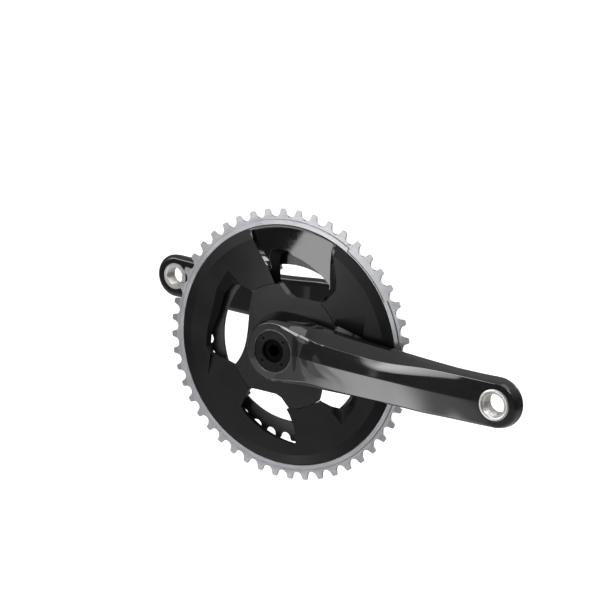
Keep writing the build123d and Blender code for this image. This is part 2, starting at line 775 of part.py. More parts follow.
def cup(side):
    """External cup: threads into the shell, holds its bearing outside it."""
    thread = [(CUP_THREAD_RADIUS - 0.6, CUP_THREAD_END)]
    turns = int((SHELL_HALF_WIDTH - 1.2 - CUP_THREAD_END) / CUP_THREAD_PITCH)
    for turn in range(turns):
        start = CUP_THREAD_END + 0.3 + turn * CUP_THREAD_PITCH
        thread.append((CUP_THREAD_RADIUS - 0.6, start))
        thread.append((CUP_THREAD_RADIUS, start + CUP_THREAD_PITCH * 0.45))
        thread.append((CUP_THREAD_RADIUS, start + CUP_THREAD_PITCH * 0.55))
    thread.append((CUP_THREAD_RADIUS - 0.6, SHELL_HALF_WIDTH - 0.8))
    body = turned(
        [
            (CUP_BORE, CUP_THREAD_END),
            *thread,
            (CUP_THREAD_RADIUS - 0.6, SHELL_HALF_WIDTH),
            (CUP_FLANGE_RADIUS - 0.6, SHELL_HALF_WIDTH),
            (CUP_FLANGE_RADIUS, SHELL_HALF_WIDTH + 0.6),
            (CUP_FLANGE_RADIUS, CUP_MOUTH - 0.8),
            (CUP_FLANGE_RADIUS - 0.8, CUP_MOUTH),
            (BEARING_RADIUS + 0.01, CUP_MOUTH),
            (BEARING_RADIUS + 0.01, BEARING[0]),
            (BEARING_RADIUS - 2.4, BEARING[0]),
            (BEARING_RADIUS - 2.4, SHELL_HALF_WIDTH + 1.4),
            (CUP_BORE, SHELL_HALF_WIDTH + 1.4),
        ],
        side,
    )
    with BuildPart() as notched:
        add(body.part)
        with BuildSketch(across(SHELL_HALF_WIDTH + 1.5, side)):
            with PolarLocations(CUP_FLANGE_RADIUS + 0.9, CUP_NOTCHES):
                Circle(1.9)
        extrude(amount=CUP_MOUTH - SHELL_HALF_WIDTH, mode=Mode.SUBTRACT)
    finish(notched, "drive_cup" if side == DRIVE else "nondrive_cup")


def cup_sleeve():
    reach = SLEEVE_HALF_LENGTH
    inner, outer = SLEEVE_RADII
    sleeve = turned([(inner, -reach), (outer, -reach), (outer, reach), (inner, reach)])
    finish(sleeve, "cup_sleeve")


def race(inner, outer, side):
    """A bearing ring between two radii, with the ball groove cut into it."""
    low, high = BEARING
    with BuildPart() as ring:
        with BuildSketch(half_section(side)):
            with BuildLine():
                Polyline((inner, low), (outer, low), (outer, high), (inner, high), close=True)
            make_face()
            with Locations((BALL_CIRCLE, (low + high) / 2)):
                Circle(BALL_RADIUS + RUNNING, mode=Mode.SUBTRACT)
        revolve(axis=Axis.Y)
    return ring


def bearing(side):
    prefix = "drive" if side == DRIVE else "nondrive"
    middle = sum(BEARING) / 2
    inner_shoulder, outer_shoulder = SHOULDERS
    finish(race(SPINDLE_RADIUS + PRESS, inner_shoulder, side), f"{prefix}_bearing_inner_race")
    finish(race(outer_shoulder, BEARING_RADIUS, side), f"{prefix}_bearing_outer_race")
    seat = across(middle, side)
    with BuildPart() as balls:
        for turn in range(BALL_COUNT):
            centre = seat.from_local_coords((*polar(BALL_CIRCLE, turn * 360 / BALL_COUNT), 0))
            with Locations(centre):
                Sphere(BALL_RADIUS)
    finish(balls, f"{prefix}_bearing_balls")
    with BuildPart() as cage:
        with BuildSketch(across(middle - CAGE_WIDTH / 2, side)):
            Circle(BALL_CIRCLE + CAGE_THICKNESS / 2)
            Circle(BALL_CIRCLE - CAGE_THICKNESS / 2, mode=Mode.SUBTRACT)
        extrude(amount=CAGE_WIDTH)
        for turn in range(BALL_COUNT):
            spoke = radians(turn * 360 / BALL_COUNT)
            outward = (cos(spoke), 0, sin(spoke))
            pocket = Plane(origin=(0, -side * middle, 0), z_dir=outward)
            with BuildSketch(pocket.offset(BALL_CIRCLE - 3)):
                Circle(BALL_RADIUS + 0.1)
            extrude(amount=6, mode=Mode.SUBTRACT)
    finish(cage, f"{prefix}_bearing_cage")
    with BuildPart() as seals:
        for start in (BEARING[0] + 0.05, BEARING[1] - SEAL_THICKNESS - 0.05):
            with BuildSketch(across(start, side)):
                Circle(outer_shoulder - 0.02)
                Circle(inner_shoulder + 0.15, mode=Mode.SUBTRACT)
            extrude(amount=SEAL_THICKNESS)
    finish(seals, f"{prefix}_bearing_seals")
    bore = SPINDLE_RADIUS + PRESS
    shield = turned(
        [
            (bore, BEARING[1]),
            (16.2, BEARING[1]),
            (16.2, 44.2),
            (20.4, 44.2),
            (20.4, 45.6),
            (17.2, INSERT_BOSS_END),
            (bore, INSERT_BOSS_END),
        ],
        side,
    )
    finish(shield, f"{prefix}_dust_shield")


def preload_adjuster():
    """Split, knurled ring on the non-drive insert's boss, locked by a small cross screw."""
    low, high = PRELOAD_RING
    bore = INSERT_BOSS_RADIUS + RUNNING
    rim = PRELOAD_RADIUS
    screw_end = (PINCH_SCREW_START, (low + high) / 2, PINCH_SCREW_HEIGHT)
    screw = Plane(origin=screw_end, x_dir=(0, 1, 0), z_dir=(1, 0, 0))
    head = screw.offset(PINCH_SHANK_LENGTH)
    with BuildPart() as ring:
        with BuildSketch(across(low, NONDRIVE)):
            Circle(rim)
            Circle(bore, mode=Mode.SUBTRACT)
            with PolarLocations(rim + 0.5, PRELOAD_KNURLS, start_angle=6):
                Circle(1.3, mode=Mode.SUBTRACT)
            with Locations((0, rim)):
                Rectangle(1.6, 16, mode=Mode.SUBTRACT)
        extrude(amount=high - low)
        with BuildSketch(screw.offset(-3)):
            Circle(1.55)
        extrude(amount=14, mode=Mode.SUBTRACT)
        with BuildSketch(head):
            Circle(2.2)
        extrude(amount=10, mode=Mode.SUBTRACT)
    finish(ring, "preload_adjuster")
    with BuildPart() as pinch:
        with BuildSketch(screw):
            Circle(1.5)
        extrude(amount=PINCH_SHANK_LENGTH)
        with BuildSketch(head):
            Circle(2.1)
        extrude(amount=PINCH_HEAD_LENGTH)
        with BuildSketch(head.offset(PINCH_HEAD_LENGTH)):
            RegularPolygon(1.0, 6, major_radius=False)
        extrude(amount=-1.4, mode=Mode.SUBTRACT)
    finish(pinch, "preload_pinch_screw")


os.makedirs("parts", exist_ok=True)
for hand in (DRIVE, NONDRIVE):
    crank_arm(hand)
    pedal_bush(hand)
    cup(hand)
    bearing(hand)
spindle()
drive_insert()
nondrive_insert()
crank_bolt()
extractor_cap()
spider()
spider_bolts()
outer_chainring()
inner_chainring()
chainring_bolts()
ring_pins()
cup_sleeve()
preload_adjuster()
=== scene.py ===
"""Looks of the crankset: finer crank arms and pedal bushes, the materials, the lights and the camera."""

import math

import bmesh
import bpy
from mathutils import Matrix, Vector


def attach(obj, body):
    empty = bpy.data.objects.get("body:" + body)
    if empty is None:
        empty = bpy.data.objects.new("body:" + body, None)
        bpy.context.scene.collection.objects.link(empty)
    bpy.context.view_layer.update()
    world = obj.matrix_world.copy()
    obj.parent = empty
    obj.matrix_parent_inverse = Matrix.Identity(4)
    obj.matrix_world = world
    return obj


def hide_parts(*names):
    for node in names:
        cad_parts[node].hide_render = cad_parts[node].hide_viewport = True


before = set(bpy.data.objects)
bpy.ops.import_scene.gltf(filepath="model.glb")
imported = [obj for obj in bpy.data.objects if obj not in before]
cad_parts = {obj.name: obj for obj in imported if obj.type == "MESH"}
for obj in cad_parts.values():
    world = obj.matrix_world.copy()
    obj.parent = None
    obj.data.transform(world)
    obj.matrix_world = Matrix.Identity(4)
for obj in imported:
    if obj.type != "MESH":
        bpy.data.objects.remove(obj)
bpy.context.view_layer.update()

MM = 0.001
ARM_LENGTH = 172.5
DRIVE = 1
NONDRIVE = -1


# ---------------------------------------------------------------- small helpers


def straight(x, table):
    """Straight lines through (place, value) pairs, flat beyond both ends."""
    if x <= table[0][0]:
        return table[0][1]
    for (x0, y0), (x1, y1) in zip(table, table[1:]):
        if x <= x1:
            return y0 + (y1 - y0) * (x - x0) / (x1 - x0)
    return table[-1][1]


CURVE_SAMPLES = 8


def curve(x, table, reach=9.0):
    """The same lines with every corner rounded over a reach to each side."""
    total = 0.0
    weights = 0.0
    for k in range(-CURVE_SAMPLES, CURVE_SAMPLES + 1):
        weight = math.cos(k * math.pi / (2 * CURVE_SAMPLES + 2)) ** 2
        total += weight * straight(x + k * reach / CURVE_SAMPLES, table)
        weights += weight
    return total / weights


def ease(x, low, high):
    """Smooth rise from 0 at low to 1 at high."""
    t = min(1.0, max(0.0, (x - low) / (high - low)))
    return t * t * (3 - 2 * t)


def blend(a, b, share):
    return a + (b - a) * share


def to_frame(along, up, out, side):
    """Arm coordinates in mm (along the arm, up, outboard) to the frame in metres."""
    return Vector((side * along * MM, -side * out * MM, up * MM))


def mesh_object(name, points, faces):
    mesh = bpy.data.meshes.new(name)
    mesh.from_pydata(points, [], faces)
    mesh.validate()
    piece = bpy.data.objects.new(name, mesh)
    bpy.context.scene.collection.objects.link(piece)
    return piece


SAME_POINT = 1e-7


def tidy_mesh(piece, angle=40.0):
    """Merge doubled points, face outwards, and shade smooth except at edges sharper than an angle."""
    work = bmesh.new()
    work.from_mesh(piece.data)
    bmesh.ops.remove_doubles(work, verts=work.verts, dist=SAME_POINT)
    bmesh.ops.recalc_face_normals(work, faces=work.faces)
    for face in work.faces:
        face.smooth = True
    limit = math.radians(angle)
    for edge in work.edges:
        if len(edge.link_faces) == 2 and edge.calc_face_angle(0.0) > limit:
            edge.smooth = False
    work.to_mesh(piece.data)
    work.free()
    return piece


def revolved(name, profile, centre_along, side, steps=128):
    """Closed body of revolution about an axis across the bicycle, from (radius, outboard) points."""
    points = []
    faces = []
    rows = len(profile)
    for k in range(steps):
        turn = 2 * math.pi * k / steps
        for radius, out in profile:
            along = centre_along + radius * math.cos(turn)
            points.append(to_frame(along, radius * math.sin(turn), out, side))
    for k in range(steps):
        after_k = (k + 1) % steps
        for j in range(rows):
            after_j = (j + 1) % rows
            faces.append((k * rows + j, k * rows + after_j, after_k * rows + after_j, after_k * rows + j))
    return mesh_object(name, points, faces)


def cut(piece, tool):
    """Boolean difference with a tool that is then thrown away."""
    tidy_mesh(tool)
    modifier = piece.modifiers.new("cut", "BOOLEAN")
    modifier.operation = "DIFFERENCE"
    modifier.solver = "EXACT"
    modifier.object = tool
    bpy.context.view_layer.update()
    graph = bpy.context.evaluated_depsgraph_get()
    result = bpy.data.meshes.new_from_object(piece.evaluated_get(graph))
    piece.modifiers.clear()
    piece.data = result
    result.name = piece.name
    bpy.data.objects.remove(tool)


# ---------------------------------------------------------------- crank arm

# Lines that run along the arm, as (place along the arm, value) in mm. BACK, CREST and the names with OUT
# give outboard places, the others heights above or below the arm's middle.
BACK = (
    (0, 52.0), (12, 52.6), (24, 54.6), (36, 57.0), (60, 57.2), (95, 57.6), (140, 59.2), (172.5, 60.3),
)
ROOT_TOP = (
    (0, 26.0), (12, 25.5), (24, 24.8), (36, 24.0), (48, 22.6), (60, 21.3), (80, 19.7), (100, 18.9),
    (120, 17.9), (140, 17.1), (160, 17.3), (172.5, 17.8),
)
ROOT_LOW = (
    (0, 26.0), (12, 24.8), (24, 22.8), (36, 21.4), (48, 20.4), (64, 19.4), (94, 18.9), (120, 18.8),
    (140, 17.9), (160, 17.6), (172.5, 17.8),
)
SHOULDER_TOP = (
    (0, 22.6), (24, 21.8), (60, 19.7), (100, 17.6), (130, 16.1), (155, 15.8), (172.5, 16.2),
)
SHOULDER_TOP_OUT = (
    (0, 66.0), (20, 64.6), (45, 63.8), (85, 64.0), (105, 65.2), (140, 68.5), (172.5, 69.6),
)
EDGE_TOP = (
    (0, 20.8), (6, 20.4), (31, 14.4), (51, 12.7), (80, 11.3), (95, 11.8), (120, 14.2), (135, 14.8),
    (172.5, 14.8),
)
EDGE_TOP_OUT = (
    (0, 68.5), (15, 68.6), (24, 69.4), (36, 70.2), (60, 70.6), (100, 71.0), (140, 71.3), (172.5, 71.9),
)
SHOULDER_LOW = (
    (0, 22.6), (16, 21.3), (26, 20.4), (37, 20.0), (48, 19.7), (64, 19.1), (94, 18.6), (120, 18.6),
    (140, 17.6), (160, 16.9), (172.5, 16.2),
)
SHOULDER_LOW_OUT = (
    (0, 66.0), (16, 65.6), (26, 65.6), (37, 66.2), (60, 66.6), (100, 66.9), (140, 67.8), (160, 68.6),
    (172.5, 69.2),
)
EDGE_LOW = (
    (0, 20.8), (16, 18.6), (26, 17.2), (37, 17.3), (44, 17.7), (64, 17.6), (94, 17.1), (120, 17.0),
    (140, 16.0), (160, 15.2), (172.5, 14.8),
)
EDGE_LOW_OUT = (
    (0, 68.5), (16, 67.6), (26, 67.4), (37, 68.0), (60, 68.6), (100, 68.8), (140, 69.6), (160, 70.6),
    (172.5, 71.2),
)
CREST = (
    (0, 68.75), (17.0, 68.75), (19.5, 68.3), (23.0, 68.3), (28.0, 69.9), (33, 70.7), (46, 71.2),
    (60, 71.4), (95, 71.6), (140, 72.0), (172.5, 72.35),
)
CREST_AT = ((0, 0.0), (12, 0.0), (60, -0.6), (140, -0.6), (161, 0.0), (172.5, 0.0))
PANEL_START = 22.0
PANEL_LAG = ((0, 0.0), (4, 0.3), (8, 1.5), (11, 3.0), (16, 5.0))
# Range along the arm over which the panel's shaped left end gives way to the plain crest line.
PANEL_SETTLES = (46, 80)
# Depth below the middle over which the panel's left end flattens out, and the share of it left there.
PANEL_FOOT = 13
PANEL_FOOT_LEAN = 0.4
PANEL_REACH = 2.5
CREST_REACH = 3.0
# A narrow fall towards the upper edge of the root: its depth, and its width as a share of the way down.
LIP = ((0, 0.0), (2, 0.0), (9, -0.26), (20, -0.42), (27, -0.56), (30, -0.4), (34, 0.0))
LIP_SHARE = ((0, 0.08), (14, 0.12), (27, 0.19), (36, 0.12))
# Outboard place of the face beside that edge, which rises smoothly from the root to the panel.
LIP_BASE = (
    (0, 68.75), (12, 68.75), (21, 68.65), (27, 69.3), (33, 70.15), (40, 70.85), (60, 71.4),
    (172.5, 71.4),
)
LIP_REACH = 4.0
# Shares of the way down over which that face joins the crest.
BASE_RISE = (0.06, 0.34)
# Range along the arm over which the root's upper edge turns into the bevelled edge of the rest.
ROOT_ENDS = (27, 44)
# The front rolls off towards its upper edge over this share of its height. It is part roll, part straight
# line, and falls short of the crest by ROLL_DROP at the edge.
ROLL_END = 0.55
ROLL_WEIGHT = 0.8
LINE_WEIGHT = 0.2
ROLL_DROP = 0.35
# How far the corner between back and side is cut off, and how strongly each corner is rounded.
CORNER = ((0, 0.7), (30, 2.6), (172.5, 2.6))
BACK_RADIUS = 1.2
SIDE_RADIUS = 1.4
SHOULDER_RADIUS = 0.8
EDGE_RADIUS = 0.45
# Share of the front's height taken by the first strip beside its edge.
FIRST_STRIP = 0.04
FACE_STEPS = 26
# Numbers of equal steps on the straight stretches of the section, from the back round to the front.
STRETCH_STEPS = (5, 2, 5, 4, 1)


def crest_height(along, up):
    """Outboard place of the front's raised panel, whose left end is rounded above and fades out below."""
    if along <= PANEL_START:
        return curve(along, CREST, CREST_REACH)
    settled = ease(along, *PANEL_SETTLES)
    if up > 0:
        start = along - curve(up, PANEL_LAG, PANEL_REACH)
    else:
        lean = blend(1.0, PANEL_FOOT_LEAN, ease(-up, 0, PANEL_FOOT))
        start = PANEL_START + (along - PANEL_START) * lean
    return curve(blend(max(PANEL_START, start), along, settled), CREST, CREST_REACH)


def edge_place(along, top_side):
    """Height and outboard place of the front face's edge."""
    height = curve(along, EDGE_TOP if top_side else EDGE_LOW)
    if not top_side:
        return height, curve(along, EDGE_LOW_OUT)
    lip = curve(along, LIP_BASE, CREST_REACH) + curve(along, LIP, CREST_REACH)
    return height, blend(lip, curve(along, EDGE_TOP_OUT), ease(along, *ROOT_ENDS))


def face_out(along, up, share, top_side):
    """Outboard place of the front face at a share of the way from its edge to the crest line."""
    edge = edge_place(along, top_side)[1]
    crest = crest_height(along, up)
    if not top_side:
        return blend(edge, crest, share)
    roll = 1.0 - (1.0 - min(1.0, share / ROLL_END)) ** 2
    rolled = blend(edge, crest - ROLL_DROP * (1 - share), ROLL_WEIGHT * roll + LINE_WEIGHT * share)
    base = blend(curve(along, LIP_BASE, CREST_REACH), crest, ease(share, *BASE_RISE))
    lip_left = 1.0 - ease(share, 0.0, curve(along, LIP_SHARE, LIP_REACH))
    lipped = base + curve(along, LIP, CREST_REACH) * lip_left
    return blend(lipped, rolled, ease(along, *ROOT_ENDS))


ROUNDING_POINTS = 5
LONGEST_ROUNDING = 0.45


def softened(corners, counts):
    """Points along a polyline of (up, out, radius) corners, each inner corner rounded.

    The counts are the numbers of equal steps on the straight stretches. A rounding takes no more than
    LONGEST_ROUNDING of the sides beside it.
    """
    points = [corners[0][:2]]
    for i in range(1, len(corners) - 1):
        here = Vector(corners[i][:2])
        radius = corners[i][2]
        to_previous = Vector(corners[i - 1][:2]) - here
        to_next = Vector(corners[i + 1][:2]) - here
        a = here + to_previous * min(LONGEST_ROUNDING, radius / to_previous.length)
        b = here + to_next * min(LONGEST_ROUNDING, radius / to_next.length)
        start = Vector(points[-1])
        for k in range(1, counts[i - 1]):
            points.append(tuple(start.lerp(a, k / counts[i - 1])))
        for k in range(ROUNDING_POINTS):
            t = k / (ROUNDING_POINTS - 1)
            points.append(tuple(a * (1 - t) ** 2 + here * 2 * t * (1 - t) + b * t * t))
    start = Vector(points[-1])
    last = Vector(corners[-1][:2])
    for k in range(1, counts[-1] + 1):
        points.append(tuple(start.lerp(last, k / counts[-1])))
    return points


def half_profile(along, top_side):
    """Half of the arm's cross-section, from the middle of its back round to the crest line."""
    back = curve(along, BACK)
    root = curve(along, ROOT_TOP if top_side else ROOT_LOW)
    shoulder = curve(along, SHOULDER_TOP if top_side else SHOULDER_LOW)
    shoulder_out = curve(along, SHOULDER_TOP_OUT if top_side else SHOULDER_LOW_OUT)
    edge, edge_out = edge_place(along, top_side)
    corner = curve(along, CORNER)
    crest_up = curve(along, CREST_AT) * (1 if top_side else -1)

    def height_at(share):
        height = blend(edge, crest_up, share)
        return height if top_side else -height

    def front_point(share):
        return blend(edge, crest_up, share), face_out(along, height_at(share), share, top_side)

    corners = [
        (0.0, back, 0),
        (root - corner, back, BACK_RADIUS),
        (root, back + corner, SIDE_RADIUS),
        (shoulder, shoulder_out, SHOULDER_RADIUS),
        (edge, edge_out, EDGE_RADIUS),
        (*front_point(FIRST_STRIP), 0),
    ]
    points = softened(corners, STRETCH_STEPS)
    for k in range(1, FACE_STEPS + 1):
        points.append(front_point(FIRST_STRIP + (1 - FIRST_STRIP) * k / FACE_STEPS))
    return points


# Steps along the arm in mm, finer over the root, and steps round each end.
ROOT_LENGTH = 40
ROOT_STEP = 0.5
BEAM_STEP = 1.5
SHORTEST_STEP = 0.01
END_STEPS = 72


def end_rows(centre, first_turn, top, low, towards_low):
    """Rows of points round one end of the arm, clockwise through half a turn from first_turn half turns.

    The section changes on the way, from the top one to the low one or back.
    """
    rows = []
    for k in range(1, END_STEPS):
        angle = math.pi * (first_turn - k / END_STEPS)
        share = ease(k / END_STEPS, 0, 1)
        if not towards_low:
            share = 1 - share
        row = []
        for (top_up, top_out), (low_up, low_out) in zip(top, low):
            radius = blend(top_up, low_up, share)
            out = blend(top_out, low_out, share)
            row.append((centre + radius * math.cos(angle), radius * math.sin(angle), out))
        rows.append(row)
    return rows


def arm_rows():
    """Rows of points along the top, round the eye, back along the bottom and round the hub."""
    steps = []
    place = 0.0
    while place < ARM_LENGTH - SHORTEST_STEP:
        steps.append(place)
        place += ROOT_STEP if place < ROOT_LENGTH else BEAM_STEP
    steps.append(ARM_LENGTH)
    rows = []
    for along in steps:
        rows.append([(along, up, out) for up, out in half_profile(along, True)])
    rows += end_rows(ARM_LENGTH, 0.5, half_profile(ARM_LENGTH, True), half_profile(ARM_LENGTH, False), True)
    for along in reversed(steps):
        rows.append([(along, -up, out) for up, out in half_profile(along, False)])
    rows += end_rows(0, -0.5, half_profile(0, True), half_profile(0, False), False)
    return rows


# Sections of the cuts, as (radius, outboard place) in mm; the axis itself stays open by a hair.
AXIS = 0.01
BORE = ((AXIS, 51.0), (24.85, 51.0), (24.85, 56.05), (18.55, 56.05))
BORE_ENDS = {
    DRIVE: (
        (18.55, 64.0), (16.55, 66.05), (16.55, 67.5), (15.2, 67.5), (15.2, 68.05), (16.1, 68.95),
        (16.1, 70.0), (AXIS, 70.0),
    ),
    NONDRIVE: ((18.55, 64.05), (AXIS, 64.05)),
}
EYE = ((AXIS, 59.0), (11.05, 59.0), (11.05, 72.0), (12.4, 74.0), (AXIS, 74.0))
ALL_SMOOTH = 180
ARM_SHARP = 55


def crank_arm(name, side):
    """One arm as a swept skin, with the bore for its insert and the eye for its pedal bush cut out."""
    rows = arm_rows()
    count = len(rows[0])
    points = [to_frame(*point, side) for row in rows for point in row]
    faces = []
    for r in range(len(rows)):
        s = (r + 1) % len(rows)
        for k in range(count - 1):
            faces.append((r * count + k, r * count + k + 1, s * count + k + 1, s * count + k))
    arm = mesh_object(name, points, faces)
    tidy_mesh(arm, ALL_SMOOTH)
    cut(arm, revolved("bore", BORE + BORE_ENDS[side], 0, side))
    cut(arm, revolved("eye", EYE, ARM_LENGTH, side))
    tidy_mesh(arm, ARM_SHARP)
    return arm


drive_arm = crank_arm("drive_arm_shell", DRIVE)
nondrive_arm = crank_arm("nondrive_arm_shell", NONDRIVE)
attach(drive_arm, "crank")
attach(nondrive_arm, "crank")
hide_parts("drive_crank_arm")
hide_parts("nondrive_crank_arm")


# ---------------------------------------------------------------- pedal bushes

BUSH_BACK = 60.3
BUSH_FACE = 72.0
BUSH_STEPS = 96
BUSH_SHARP = 35
THREAD_PITCH = 1.27
THREAD_CREST = 7.15
THREAD_DEPTH = 0.55
THREAD_STEEPNESS = 1.3
THREAD_FLAT = 0.15
THREAD_ROWS = 120
THREAD_START = 0.05
LIP_DEPTH = 1.0
# The rest of the bush's section, from its inner lip over the front to the back: (radius, outboard place).
BUSH_OUTSIDE = (
    (8.0, BUSH_FACE - 0.95), (8.7, BUSH_FACE - 0.12), (8.9, BUSH_FACE), (10.3, BUSH_FACE),
    (10.75, BUSH_FACE - 0.25), (10.98, BUSH_FACE - 0.7), (10.98, BUSH_BACK + 0.5), (10.5, BUSH_BACK),
    (8.2, BUSH_BACK),
)


def thread_radius(out, turned, side):
    """Radius inside the thread at an outboard place and a share of a turn: flat crests and roots."""
    phase = ((out - BUSH_BACK) / THREAD_PITCH + side * turned) % 1.0
    wave = abs(2 * phase - 1)
    return THREAD_CREST + THREAD_DEPTH * min(1.0, max(0.0, wave * THREAD_STEEPNESS - THREAD_FLAT))


def pedal_bush(name, side):
    """Bush with a real helical thread inside and a chamfered lip."""
    columns = []
    for k in range(BUSH_STEPS):
        column = []
        for j in range(THREAD_ROWS + 1):
            out = BUSH_BACK + THREAD_START + (BUSH_FACE - LIP_DEPTH - BUSH_BACK) * j / THREAD_ROWS
            column.append((thread_radius(out, k / BUSH_STEPS, side), out))
        columns.append(column + list(BUSH_OUTSIDE))
    points = []
    for k, column in enumerate(columns):
        angle = 2 * math.pi * k / BUSH_STEPS
        for radius, out in column:
            along = ARM_LENGTH + radius * math.cos(angle)
            points.append(to_frame(along, radius * math.sin(angle), out, side))
    count = len(columns[0])
    faces = []
    for k in range(BUSH_STEPS):
        after_k = (k + 1) % BUSH_STEPS
        for j in range(count):
            after_j = (j + 1) % count
            near = (k * count + j, k * count + after_j)
            far = (after_k * count + after_j, after_k * count + j)
            faces.append(near + far)
    return tidy_mesh(mesh_object(name, points, faces), BUSH_SHARP)


for name, side in (("drive", DRIVE), ("nondrive", NONDRIVE)):
    bush = pedal_bush(name + "_threaded_bush", side)
    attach(bush, "crank")
    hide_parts(name + "_pedal_bush")


# ---------------------------------------------------------------- materials


class Nodes:
    """Helpers that add nodes to one node tree."""

    def __init__(self, tree):
        self.tree = tree

    def node(self, kind, **settings):
        made = self.tree.nodes.new(kind)
        for key, value in settings.items():
            setattr(made, key, value)
        return made

    def link(self, source, target):
        self.tree.links.new(source, target)

    def math(self, operation, a, b):
        made = self.node("ShaderNodeMath", operation=operation)
        for value, socket in ((a, made.inputs[0]), (b, made.inputs[1])):
            if isinstance(value, (int, float)):
                socket.default_value = value
            else:
                self.link(value, socket)
        return made.outputs[0]

    def product(self, first, *others):
        for other in others:
            first = self.math("MULTIPLY", first, other)
        return first

    def spread(self, value, low, high, from_low=0.3, from_high=0.7, smooth=False):
        """Low where the value is at from_low or less, high where it is at from_high or more."""
        made = self.node("ShaderNodeMapRange")
        if smooth:
            made.interpolation_type = "SMOOTHSTEP"
        made.inputs["From Min"].default_value = from_low
        made.inputs["From Max"].default_value = from_high
        made.inputs["To Min"].default_value = low
        made.inputs["To Max"].default_value = high
        self.link(value, made.inputs["Value"])
        return made.outputs[0]


IOR = 1.5
# Cosines of the angle between the bevelled and the true normal: at the first or less it is a full edge, at
# the second or more flat ground.
EDGE_LEAN = 0.86
FLAT_LEAN = 0.985


class Finish(Nodes):
    """One material: a principled shader with helpers for the nodes that feed it."""

    def __init__(self, name, metallic=0.0, specular=0.5):
        self.material = bpy.data.materials.new(name)
        self.material.use_nodes = True
        super().__init__(self.material.node_tree)
        self.shader = self.tree.nodes["Principled BSDF"]
        self.shader.inputs["Metallic"].default_value = metallic
        self.shader.inputs["IOR"].default_value = IOR
        self.shader.inputs["Specular IOR Level"].default_value = specular
        self.place = self.node("ShaderNodeTexCoord").outputs["Object"]

    def stretched(self, scale):
        made = self.node("ShaderNodeMapping")
        made.inputs["Scale"].default_value = scale
        self.link(self.place, made.inputs["Vector"])
        return made.outputs[0]

    def noise(self, scale, detail=3.0, vector=None):
        made = self.node("ShaderNodeTexNoise")
        made.inputs["Scale"].default_value = scale
        made.inputs["Detail"].default_value = detail
        self.link(vector or self.place, made.inputs["Vector"])
        return made.outputs["Fac"]

    def mix(self, share, a, b):
        made = self.node("ShaderNodeMix", data_type="RGBA")
        for value, socket in ((share, made.inputs[0]), (a, made.inputs[6]), (b, made.inputs[7])):
            if isinstance(value, tuple):
                socket.default_value = (*value, 1.0)
            else:
                self.link(value, socket)
        return made.outputs[2]

    def bump(self, height, strength, distance, base_normal):
        made = self.node("ShaderNodeBump")
        made.inputs["Strength"].default_value = strength
        made.inputs["Distance"].default_value = distance
        self.link(height, made.inputs["Height"])
        self.link(base_normal, made.inputs["Normal"])
        return made.outputs[0]

    def soft_edge(self, radius):
        made = self.node("ShaderNodeBevel", samples=4)
        made.inputs["Radius"].default_value = radius
        return made.outputs[0]

    def edge_share(self, bevel):
        """1 on sharp edges and 0 on flat ground, from how far the bevelled normal leans."""
        true_normal = self.node("ShaderNodeNewGeometry").outputs["Normal"]
        dot = self.node("ShaderNodeVectorMath", operation="DOT_PRODUCT")
        self.link(bevel, dot.inputs[0])
        self.link(true_normal, dot.inputs[1])
        return self.spread(dot.outputs["Value"], 1.0, 0.0, EDGE_LEAN, FLAT_LEAN)

    def colour(self, value):
        self.link(value, self.shader.inputs["Base Color"])

    def roughness(self, value):
        self.link(value, self.shader.inputs["Roughness"])

    def normal(self, value):
        self.link(value, self.shader.inputs["Normal"])

    def coat(self, weight, roughness, ior):
        self.shader.inputs["Coat Weight"].default_value = weight
        self.shader.inputs["Coat Roughness"].default_value = roughness
        self.shader.inputs["Coat IOR"].default_value = ior


WORN_TONE = (0.25, 0.25, 0.26)
PAINT_EDGE = 0.0002
METAL_EDGE = 0.00015


def painted(name, dark, light, rough, grain=900.0, grain_depth=0.00002, wear=0.35, specular=0.5):
    """Satin or matt finish with fine grain, uneven gloss and lighter worn edges.

    Dark and light are the ends of its tone, rough the range of its roughness, grain the scale of its
    texture, and wear the strongest share of the worn tone on an edge.
    """
    look = Finish(name, specular=specular)
    broad = look.noise(45, 4)
    fine = look.noise(grain, 3)
    tone = look.mix(look.spread(broad, 0, 1, 0.35, 0.65), dark, light)
    soft = look.soft_edge(PAINT_EDGE)
    worn = look.math("MULTIPLY", look.edge_share(soft), look.spread(look.noise(300, 4), 0, wear, 0.4, 0.65))
    look.colour(look.mix(worn, tone, WORN_TONE))
    uneven = look.math("ADD", look.spread(broad, rough[0], rough[1]), look.spread(fine, -0.03, 0.03))
    look.roughness(uneven)
    look.normal(look.bump(fine, 0.35, grain_depth, soft))
    return look


TURNED = (60, 4000, 60)
EVEN_GRAIN = (900, 900, 900)


def metal(name, dark, light, rough, grain=TURNED, edge=METAL_EDGE, depth=0.000006, uneven=0.05):
    """Machined or polished metal: fine directional lines, soft edges and uneven gloss.

    Depth is the height of the lines in metres, and uneven how far they change the roughness.
    """
    look = Finish(name, metallic=1.0)
    broad = look.noise(70, 4)
    lines = look.noise(1.0, 3, look.stretched(grain))
    look.colour(look.mix(look.spread(broad, 0, 1, 0.3, 0.7), dark, light))
    gloss = look.spread(broad, rough[0], rough[1])
    look.roughness(look.math("ADD", gloss, look.spread(lines, -uneven, uneven)))
    look.normal(look.bump(lines, 0.5, depth, look.soft_edge(edge)))
    return look


LACQUER_EDGE = 0.0003
PEEL_DEPTH = 0.0002


